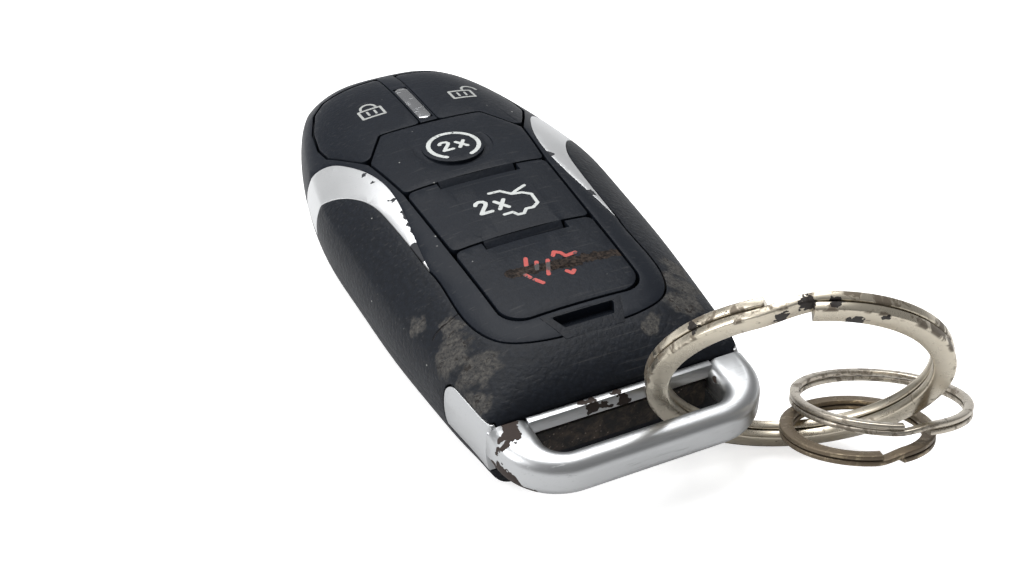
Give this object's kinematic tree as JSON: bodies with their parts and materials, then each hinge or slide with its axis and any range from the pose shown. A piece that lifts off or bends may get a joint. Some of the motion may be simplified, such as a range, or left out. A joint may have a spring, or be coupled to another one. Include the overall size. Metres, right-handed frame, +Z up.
{
  "type": "car key fob",
  "caption": "Car remote key fob with rubber-grip housing, keypad, silver shoulder trims, pull-out emergency key with a metal loop, and a split key ring.",
  "frame": {"origin": "middle of the fob's flat back, on the surface it lies on", "axes": "+X across the fob to the right, +Y along the fob to its head end, +Z up out of the keypad"},
  "size_m": [0.0546, 0.0921, 0.0296],
  "materials": {
    "smooth_black": "smooth dark moulding",
    "grip_black": "fine grained moulding",
    "rear_black": "fine grained moulding",
    "key_black": "satin keys with pale markings",
    "silver_paint": "satin silver paint on plastic",
    "loop_chrome": "worn satin plating",
    "ring_nickel": "tarnished nickel plating",
    "blade_steel": "milled steel",
    "mat_rubber": "soft moulded",
    "board_green": "printed board",
    "part_black": "small electronic parts",
    "cell_steel": "plated cell can",
    "contact_metal": "plated spring strip",
    "frame_black": "moulded frame"
  },
  "bodies": {
    "fob_body": {"front_bezel": "smooth_black", "grip_shell": "grip_black", "rear_shell": "rear_black", "shoulder_trim_left": "silver_paint", "shoulder_trim_right": "silver_paint", "centre_strip": "silver_paint", "keypad_mat": "mat_rubber", "circuit_board": "board_green", "tact_switches": "part_black", "control_chip": "part_black", "radio_chip": "part_black", "crystal": "cell_steel", "aerial_coil": "contact_metal", "transponder_coil": "contact_metal", "battery": "cell_steel", "contact_positive": "contact_metal", "contact_negative": "contact_metal", "inner_chassis": "frame_black", "release_spring": "blade_steel"},
    "lock_key": {"lock_button": "key_black"},
    "unlock_key": {"unlock_button": "key_black"},
    "start_key": {"start_button": "key_black"},
    "trunk_key": {"trunk_button": "key_black"},
    "panic_key": {"panic_button": "key_black"},
    "rear_cover": {"battery_cover": "rear_black"},
    "release_catch": {"release_slider": "rear_black"},
    "mechanical_key": {"key_blade": "blade_steel", "blade_holder": "frame_black", "key_loop": "loop_chrome"},
    "big_ring": {"key_ring": "ring_nickel"},
    "wire_ring": {"small_ring": "ring_nickel"},
    "link_ring": {"ring_link": "ring_nickel"}
  },
  "joints": [
    {"name": "lock_press", "type": "slide", "parent": "fob_body", "child": "lock_key", "axis": [0, 0, -1], "range_m": [0, 0.0005], "stiffness_N_per_m": 2000, "springref_m": -0.0002},
    {"name": "unlock_press", "type": "slide", "parent": "fob_body", "child": "unlock_key", "axis": [0, 0, -1], "range_m": [0, 0.0005], "stiffness_N_per_m": 2000, "springref_m": -0.0002},
    {"name": "start_press", "type": "slide", "parent": "fob_body", "child": "start_key", "axis": [0, 0, -1], "range_m": [0, 0.0005], "stiffness_N_per_m": 2000, "springref_m": -0.0002},
    {"name": "trunk_press", "type": "slide", "parent": "fob_body", "child": "trunk_key", "axis": [0, 0, -1], "range_m": [0, 0.0005], "stiffness_N_per_m": 2000, "springref_m": -0.0002},
    {"name": "panic_press", "type": "slide", "parent": "fob_body", "child": "panic_key", "axis": [0, 0, -1], "range_m": [0, 0.0005], "stiffness_N_per_m": 2000, "springref_m": -0.0002},
    {"name": "cover_lift", "type": "slide", "parent": "fob_body", "child": "rear_cover", "axis": [0, 0, -1], "range_m": [0, 0.012]},
    {"name": "release_slide", "type": "slide", "parent": "fob_body", "child": "release_catch", "axis": [0, 1, 0], "range_m": [0, 0.002], "stiffness_N_per_m": 400, "springref_m": -0.0005, "deforming": ["release_spring"]},
    {"name": "key_pull", "type": "slide", "parent": "fob_body", "child": "mechanical_key", "axis": [0, -1, 0], "range_m": [0, 0.05]},
    {"name": "ring_swing", "type": "hinge", "parent": "mechanical_key", "child": "big_ring", "pos_m": [0, -0.0383, 0.00715], "axis": [1, 0, 0], "range_deg": [-26, 8]},
    {"name": "small_ring_swing", "type": "hinge", "parent": "big_ring", "child": "wire_ring", "pos_m": [0.02657, -0.04434, 0.00741], "axis": [0.3839, -0.5156, 0.766], "range_deg": [-25, 4]},
    {"name": "link_swing", "type": "hinge", "parent": "big_ring", "child": "link_ring", "pos_m": [0.02487, -0.04249, 0.00496], "axis": [0.5769, -0.5338, 0.6182], "range_deg": [-5, 5]}
  ]
}
